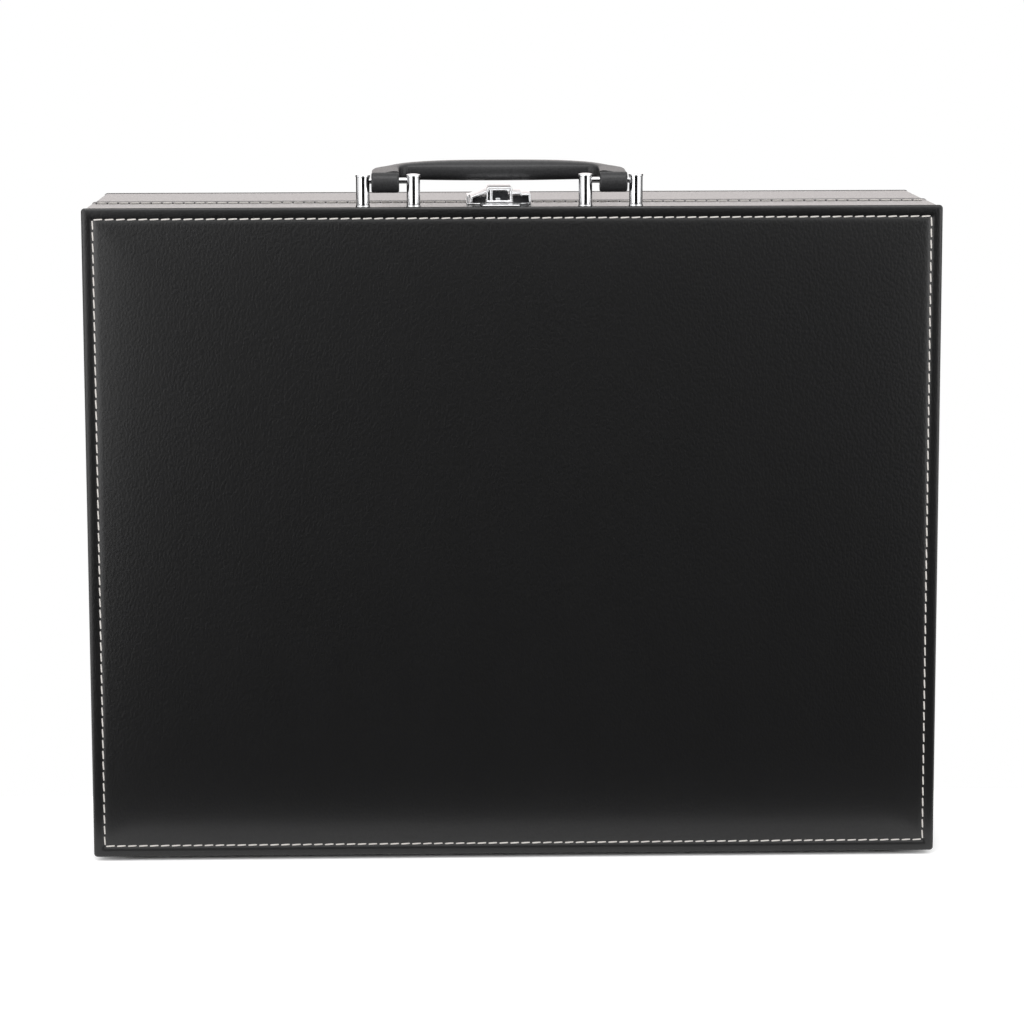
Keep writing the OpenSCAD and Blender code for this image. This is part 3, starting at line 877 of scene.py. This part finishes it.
def fold_sheet(shape, outline, origin, y_from, y_to, thickness, edge):
    """A strip of sheet metal, folded along an upright outline in millimetres and run through a depth"""
    sheet = bmesh.new()
    verts = [sheet.verts.new((origin.x + x * MM, y_from, origin.z + z * MM)) for x, z in outline]
    edges = [sheet.edges.new(pair) for pair in zip(verts, verts[1:])]
    grown = bmesh.ops.extrude_edge_only(sheet, edges=edges)["geom"]
    moved = [item for item in grown if isinstance(item, bmesh.types.BMVert)]
    bmesh.ops.translate(sheet, verts=moved, vec=(0, y_to - y_from, 0))
    bmesh.ops.recalc_face_normals(sheet, faces=sheet.faces)
    bmesh.ops.solidify(sheet, geom=sheet.faces, thickness=thickness * MM)
    soften(sheet, edge * MM, 3, 50)
    add_shape(shape, sheet)


def add_bar(shape, origin, x_span, y_span, z_span, edge=0.15):
    """A small rounded bar, its spans in millimetres from an origin"""
    low, high = (origin + Vector(corner) * MM for corner in zip(x_span, y_span, z_span))
    bar = box_shape(low, high)
    soften(bar, edge * MM, 3)
    add_shape(shape, bar)


class CASE_OT_latch(bpy.types.Operator):
    """Stamp the latch's plate and hood, its button, and the hasp on the lid"""

    bl_idname = "case.latch"
    bl_label = "Latch"

    def execute(self, context):
        low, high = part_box("latch_hood")
        origin = Vector(((low.x + high.x) / 2, low.y, low.z))
        depth = (high.y - low.y) / MM
        self.add_plate()
        self.add_hood(origin, depth)
        self.add_hollow_shade(origin, depth)
        self.add_button(origin)
        self.add_spring()
        self.add_hasp()
        return {"FINISHED"}

    def add_plate(self):
        """The strike plate, its front lip narrower than the hood"""
        low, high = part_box("latch_plate")
        middle, side = (low.x + high.x) / 2, (high.x - low.x) / 2 / MM
        hood = (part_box("latch_hood")[0].y - low.y) / MM
        depth = (high.y - low.y) / MM
        outline = [(-7.9, 0), (9.5, 0), (10.1, hood), (side, hood + 3), (side, depth)]
        outline += [(-side, depth), (-side, hood + 3), (-8.8, hood)]
        shape = bmesh.new()
        sweep(shape, [[Vector((middle + x * MM, low.y + y * MM, z)) for x, y in outline] for z in (low.z, high.z)])
        soften(shape, 0.35 * MM, 3)
        add_piece(shape, "stamped_plate", "stamped", "base_half", ["latch_plate"], 40)

    def add_hood(self, origin, depth):
        """A folded roof over the wings and the box, with the bars of the box's front"""
        shape = bmesh.new()
        fold_sheet(shape, HOOD_ROOF, origin, origin.y, origin.y + depth * MM, 1.1, 0.45)
        for x_span, z_span, edge in FRONT_BARS:
            add_bar(shape, origin, x_span, (0.05, 6), z_span, edge)
        add_bar(shape, origin, (-15.2, -14.2), (1.5, depth - 2), (0, 3.4), 0.3)
        add_piece(shape, "stamped_hood", "stamped", "base_half", ["latch_hood"], 40)

    def add_hollow_shade(self, origin, depth):
        """Dark blocks inside the hood's wings and between two bars of its front: painted shade standing for the hollows
        there
        """
        shape = bmesh.new()
        inner = (2.5, depth - 1)
        add_bar(shape, origin, (-12.6, -6.2), inner, (0.1, 2.6), 0.3)
        add_bar(shape, origin, (6.8, 14.3), inner, (0.1, 3.2), 0.3)
        add_bar(shape, origin, (-5.2, -4.4), inner, (0.1, 6.4), 0.1)
        add_piece(shape, "hood_hollow_shade", "button", "base_half")

    def add_button(self, origin):
        """The press button in the window, and the bright catch at its lower corner"""
        low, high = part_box("latch_button")
        shape = box_shape(low, high)
        round_edges(shape, edges_along(shape, Y), 0.9 * MM, 4)
        round_edges(shape, edges_at(shape, Y, low.y), 0.5 * MM, 3)
        add_piece(shape, "press_button", "button", "latch_button", ["latch_button"], 50)
        catch = bmesh.new()
        add_bar(catch, origin, (-1.6, 0.6), (0.6, 1.4), (1.1, 2.3), 0.3)
        add_piece(catch, "window_catch", "stamped", "base_half")

    def add_spring(self):
        """The spring behind the button, with its own copy of the solid model's mesh"""
        low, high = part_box("button_spring")
        travel = find_joint("button_press")["range_m"][1]
        shape = bmesh.new()
        shape.from_mesh(frame["nodes"]["button_spring"].data)
        bmesh.ops.remove_doubles(shape, verts=shape.verts, dist=TINY / 10)
        spring = add_piece(shape, "coil_spring", "steel", "base_half", ["button_spring"])
        1 - travel / (high.y - low.y)
        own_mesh(spring)

    def add_hasp(self):
        """The hump on the lid, with the tongue that enters the hood"""
        low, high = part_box("latch_hasp")
        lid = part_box("lid_wall_cover")[1].z
        origin = Vector(((low.x + high.x) / 2, high.y, lid))
        side, length = (high.x - low.x) / 2 / MM, 13
        hump = [(-side, 0), *HUMP_RIDGE, (side, 0)]
        shape = bmesh.new()
        fold_sheet(shape, hump, origin, origin.y - length * MM, origin.y, 0.9, 0.35)
        add_bar(shape, origin, (-side, side), (-length, 0), (0, 0.8))
        tongue_end = (low.y - high.y) / MM
        add_bar(shape, origin, (-2.6, 3.6), (tongue_end, -2), (3.4, 4.9))
        add_bar(shape, origin, (-side + 2, side - 2), (-2, -0.8), (0, 3))
        add_piece(shape, "stamped_hasp", "stamped", "lid_half", ["latch_hasp"], 40)


# Inside


# How far the pad swells between its seams
PUFF = 3.4 * MM


def shares(start, end, count):
    """The places that divide a length into equal shares"""
    return [start + (end - start) * step / count for step in range(1, count)]


class CASE_OT_lid_pad(bpy.types.Operator):
    """Make the quilted velvet pad inside the lid, blown up between its seams as cloth, and its rows of stitches"""

    bl_idname = "case.lid_pad"
    bl_label = "Lid Pad"

    def execute(self, context):
        low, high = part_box("lid_pad")
        low.y += PUFF
        pad = add_piece(self.flat_pad(low, high), "quilted_pad", "velvet", "lid_half", ["lid_pad"], 60)
        self.inflate(pad, low, high)
        self.quilt(low, high)
        return {"FINISHED"}

    def quilt(self, low, high):
        """The rows of stitches that hold the pad down"""
        stitch = stitch_mesh()
        shape = bmesh.new()
        for x in shares(low.x, high.x, sizes().quilt_columns):
            seam_run(shape, stitch, Vector((x, low.y, low.z)), Vector((x, low.y, high.z)), -Y)
        for z in shares(low.z, high.z, sizes().quilt_rows):
            seam_run(shape, stitch, Vector((low.x, low.y, z)), Vector((high.x, low.y, z)), -Y)
        add_piece(shape, "quilt_stitches", "thread", "lid_half")

    def flat_pad(self, low, high):
        """The pad before it is filled: a slab on a grid, six cells to a quilted square"""
        shape = box_shape(low, high)
        slice_across(shape, X, shares(low.x, high.x, 6 * sizes().quilt_columns))
        slice_across(shape, Z, shares(low.z, high.z, 6 * sizes().quilt_rows))
        return shape

    def inflate(self, pad, low, high):
        """Fills the front between the quilting, which is pinned with the pad's sides and back"""
        square = Vector(((high.x - low.x) / sizes().quilt_columns, 1, (high.z - low.z) / sizes().quilt_rows))
        rest = [vert.co.copy() for vert in pad.data.vertices]
        held = []
        for index, place in enumerate(rest):
            on_seam = any(abs((place[axis] - low[axis]) / square[axis] % 1 - 0.5) > 0.49 for axis in (0, 2))
            if on_seam or place.y > low.y + TINY:
                held.append(index)
        pad.vertex_groups.new(name="seams").add(held, 1.0, "REPLACE")
        cloth = pad.modifiers.new("cloth", "CLOTH")
        cloth.settings.vertex_group_mass = "seams"
        cloth.settings.use_pressure = True
        cloth.settings.uniform_pressure_force = 4
        cloth.settings.effector_weights.gravity = 0
        scene = bpy.context.scene
        for step in range(1, 21):
            scene.frame_set(step)
        filled = pad.evaluated_get(bpy.context.evaluated_depsgraph_get()).to_mesh()
        blown = [vert.co.copy() for vert in filled.vertices]
        pad.modifiers.remove(cloth)
        scene.frame_set(1)
        reach = max((old - new).length for old, new in zip(rest, blown))
        for vert, new in zip(pad.data.vertices, blown):
            vert.co += (new - vert.co) * (PUFF / max(reach, TINY))
        pad.modifiers.remove(pad.modifiers["normals"])
        # The seams stay sharp when the pad is subdivided
        sewn = set(held)
        creases = pad.data.attributes.new("crease_edge", "FLOAT", "EDGE")
        for edge, crease in zip(pad.data.edges, creases.data):
            crease.value = float(sewn.issuperset(edge.vertices))
        smooth = pad.modifiers.new("smooth", "SUBSURF")
        smooth.levels = smooth.render_levels = 1


class CASE_OT_solids(bpy.types.Operator):
    """Finish the pieces that are kept as the solid model gives them"""

    bl_idname = "case.solids"
    bl_label = "Plain Pieces"

    def execute(self, context):
        slots = {part["node"]: part["material_slot"] for part in frame["record"]["subparts"]}
        for node, piece in frame["nodes"].items():
            piece.data.materials.clear()
            piece.data.materials.append(FINISHES[slots[node]])
        return {"FINISHED"}


# Stage


# Corners of the black cards
CARDS = (
    ("ramp_card", ((-0.27, -0.11, 0.0015), (0.4, -0.11, 0.0015), (0.5, -2.4, 0.9), (-0.36, -2.4, 0.9))),
    ("left_flag", ((-2.2, 0.4, 0), (-1.1, 2.4, 0), (-1.1, 2.4, 1.6), (-2.2, 0.4, 1.6))),
    ("right_flag", ((1.1, 2.4, 0), (2.2, 0.4, 0), (2.2, 0.4, 1.6), (1.1, 2.4, 1.6))),
)
# Place, width, height, power and colour of the lamps
LAMPS = (
    ("overhead", (-0.3, -1.2, 3.0), 2.0, 1.6, 30, (1, 1, 1)),
    ("left", (-1.05, -1.2, 0.62), 1.1, 1.2, 7, (1, 1, 1)),
    ("right", (1.25, -1.1, 0.62), 1.1, 1.2, 6, (1, 1, 1)),
    ("rear", (0, 2.6, 0.95), 3.6, 1.5, 7, (1, 0.8, 0.76)),
)


def floor_finish():
    """White paper. It glows a little to the camera, so that it stays white. The glow is held back within and just past
    where the case stands, which leaves a darker rim round the case's foot: a painted contact shadow
    """
    r = Recipe("floor")
    half = (solid_bounds[1] - solid_bounds[0]) / 2
    x, y, _ = r.parts(r.place())
    outside = (x.size() / half.x).larger(y.size() / half.y)
    # No glow within and just past the case's outline: painted contact shadow
    past = r.ramp(outside - 0.9, [(0.0, 0.0), (0.16, 1.0)])
    seen = r.node("ShaderNodeLightPath", output="Is Camera Ray")
    glow = r.node("ShaderNodeEmission", None, {"Strength": seen * past * 0.35})
    matte = r.node("ShaderNodeBsdfDiffuse", None, {"Color": (0.9, 0.9, 0.9, 1)})
    return r.end(r.node("ShaderNodeAddShader", None, {0: glow, 1: matte}))


def card_finish():
    """Black card that only polished surfaces see"""
    r = Recipe("black_card")
    return r.end(r.node("ShaderNodeBsdfDiffuse", None, {"Color": (0.006, 0.006, 0.006, 1)}))


class CASE_OT_stage(bpy.types.Operator):
    """Set the camera, the lamps, the floor and the cards"""

    bl_idname = "case.stage"
    bl_label = "Stage"

    def execute(self, context):
        self.add_camera(context)
        self.add_floor()
        self.add_cards()
        self.add_lamps()
        self.set_world(context)
        context.scene.view_settings.view_transform = "Standard"
        return {"FINISHED"}

    def add_camera(self, context):
        """Places the face's centre on the picture's axes, which are right, down and away, and turns them back"""
        view = context.scene.case_camera
        low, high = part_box("front_cover")
        face = Vector(((low.x + high.x) / 2, low.y, (low.z + high.z) / 2))
        turns = (view.roll, "Z"), (view.pitch, "X"), (view.yaw, "Y")
        roll, pitch, yaw = (Matrix.Rotation(angle, 3, axis) for angle, axis in turns)
        to_world = Matrix(((1, 0, 0), (0, 0, 1), (0, -1, 0)))
        shift = Vector((view.offset[0], view.offset[1], view.distance))
        right, down, away = (to_world @ Vector(row) for row in roll @ pitch @ yaw)
        place = face - (right * shift.x + down * shift.y + away * shift.z)
        camera_data = bpy.data.cameras.new("camera")
        camera_data.lens = view.lens
        camera_data.sensor_width = 36
        camera_data.clip_end = 100
        camera = show("camera", camera_data)
        camera.matrix_world = Matrix.Translation(place) @ Matrix((right, -down, -away)).transposed().to_4x4()
        context.scene.camera = camera

    def add_floor(self):
        """White paper. It ends behind the case, with a notch up to the hinges, so that the lid can swing down"""
        low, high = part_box("lid_wall_cover")
        back = high.y + 15 * MM
        shape = bmesh.new()
        bmesh.ops.create_grid(shape, x_segments=1, y_segments=1, size=30)
        slice_across(shape, X, (low.x, high.x))
        slice_across(shape, Y, (low.y, back))
        spare = []
        for face in shape.faces:
            centre = face.calc_center_median()
            under_lid = centre.y > low.y and abs(centre.x) < high.x
            if under_lid or centre.y > back:
                spare.append(face)
        bmesh.ops.delete(shape, geom=spare, context="FACES")
        mesh = as_mesh(shape, "floor")
        mesh.materials.append(floor_finish())
        show("floor", mesh)

    def add_cards(self):
        """A ramp in front, which keeps the face dark, and a flag behind at either side, which edges the metal"""
        black = card_finish()
        for name, corners in CARDS:
            shape = bmesh.new()
            shape.faces.new([shape.verts.new(corner) for corner in corners])
            mesh = as_mesh(shape, name)
            mesh.materials.append(black)
            card = show(name, mesh)
            card.visible_camera = False
            card.visible_diffuse = False
            card.visible_shadow = False

    def add_lamps(self):
        """A soft light from above, a tall one at either side, and a low warm one behind, which the lid mirrors"""
        middle = Vector((0, 0, 0.15))
        for name, place, width, height, power, colour in LAMPS:
            lamp_data = bpy.data.lights.new(name, "AREA")
            lamp_data.shape = "RECTANGLE"
            lamp_data.size = width
            lamp_data.size_y = height
            lamp_data.energy = power
            lamp_data.color = colour
            lamp = show(name, lamp_data)
            aim = middle - Vector(place)
            lamp.matrix_world = Matrix.Translation(place) @ aim.to_track_quat("-Z", "Y").to_matrix().to_4x4()
            lamp.visible_camera = False

    def set_world(self, context):
        """Plain white, which is also the background"""
        world = bpy.data.worlds.new("studio")
        world.use_nodes = True
        background = world.node_tree.nodes["Background"]
        background.inputs["Color"].default_value = (1, 1, 1, 1)
        background.inputs["Strength"].default_value = 1.0
        context.scene.world = world


# Panel and registration


class CASE_PT_tools(bpy.types.Panel):
    """Lists the case's sizes and pieces"""

    bl_idname = "CASE_PT_tools"
    bl_label = "Game Case"
    bl_space_type = "VIEW_3D"
    bl_region_type = "UI"
    bl_category = "Case"

    def draw(self, context):
        for group in (context.scene.case_sizes, context.scene.case_colours, context.scene.case_camera):
            for name in group.bl_rna.properties.keys():
                if name not in ("rna_type", "name"):
                    self.layout.prop(group, name)
        for operator in OPERATORS:
            self.layout.operator(operator.bl_idname)


OPERATORS = (CASE_OT_stage, CASE_OT_covers, CASE_OT_stitching, CASE_OT_handle)
OPERATORS += (CASE_OT_posts, CASE_OT_latch, CASE_OT_lid_pad, CASE_OT_solids)
CLASSES = (CaseSizes, CaseColours, CaseCamera, *OPERATORS, CASE_PT_tools)


def register():
    for cls in CLASSES:
        bpy.utils.register_class(cls)
    bpy.types.Scene.case_sizes = PointerProperty(type=CaseSizes)
    bpy.types.Scene.case_colours = PointerProperty(type=CaseColours)
    bpy.types.Scene.case_camera = PointerProperty(type=CaseCamera)


def unregister():
    del bpy.types.Scene.case_camera
    del bpy.types.Scene.case_colours
    del bpy.types.Scene.case_sizes
    for cls in reversed(CLASSES):
        bpy.utils.unregister_class(cls)


def main():
    register()
    make_finishes(bpy.context.scene.case_colours)
    bpy.ops.case.stage()
    bpy.ops.case.covers()
    bpy.ops.case.stitching()
    bpy.ops.case.handle()
    bpy.ops.case.posts()
    bpy.ops.case.latch()
    bpy.ops.case.lid_pad()
    bpy.ops.case.solids()


if __name__ == "__main__":
    main()
